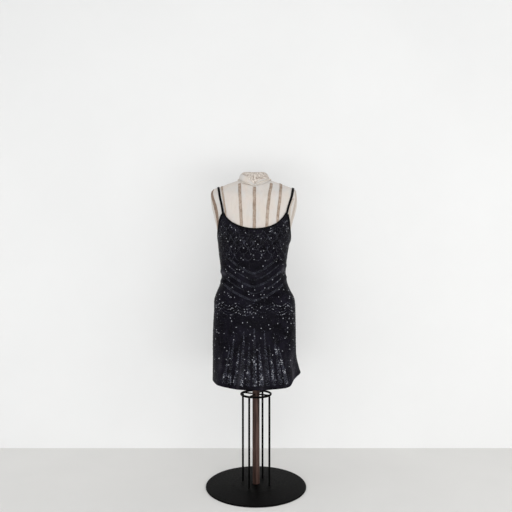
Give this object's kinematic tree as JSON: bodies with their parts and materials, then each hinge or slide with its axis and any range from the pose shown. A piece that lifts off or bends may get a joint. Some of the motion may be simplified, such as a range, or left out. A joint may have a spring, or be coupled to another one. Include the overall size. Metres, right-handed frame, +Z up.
{
  "type": "slip dress on a dress form",
  "caption": "Short beaded slip dress with thin straps, draped on a limbless linen dress form with a wooden post, an iron cage stand and a round base.",
  "frame": {"origin": "centre of the round base's underside, on the post's axis, on the floor", "axes": "+Z up along the post, -Y towards the front of the dress, +X to the right seen from the front"},
  "size_m": [0.42, 0.42, 1.323],
  "materials": {
    "dress_cloth": "matt black cloth set with small sequins and beads",
    "binding": "plain black satin binding",
    "linen": "plain woven cream linen",
    "neck_cloth": "coarse mottled beige weave",
    "cord": "off-white cotton cord",
    "tape": "brown cotton twill tape",
    "wood": "dark stained and varnished",
    "iron": "black, satin"
  },
  "bodies": {
    "root": {"dress_front": "dress_cloth", "dress_back": "dress_cloth", "neck_binding_front": "binding", "neck_binding_back": "binding", "armhole_binding_left": "binding", "armhole_binding_right": "binding", "strap_left": "binding", "strap_right": "binding", "form_body": "linen", "form_neck": "neck_cloth", "neck_cord": "cord", "form_board": "wood", "post": "wood", "cage_ring": "iron", "base": "iron", "arm_tape_left": "tape", "arm_tape_right": "tape", "tape_front_centre": "tape", "tape_front_left": "tape", "tape_front_right": "tape", "tape_shoulder_left": "tape", "tape_shoulder_right": "tape", "tape_shoulder_outer": "tape", "tape_back_centre": "tape", "tape_back_left": "tape", "tape_back_right": "tape", "cage_arm_1": "iron", "cage_bar_1": "iron", "cage_arm_2": "iron", "cage_bar_2": "iron", "cage_arm_3": "iron", "cage_bar_3": "iron", "cage_arm_4": "iron", "cage_bar_4": "iron"}
  },
  "joints": []
}
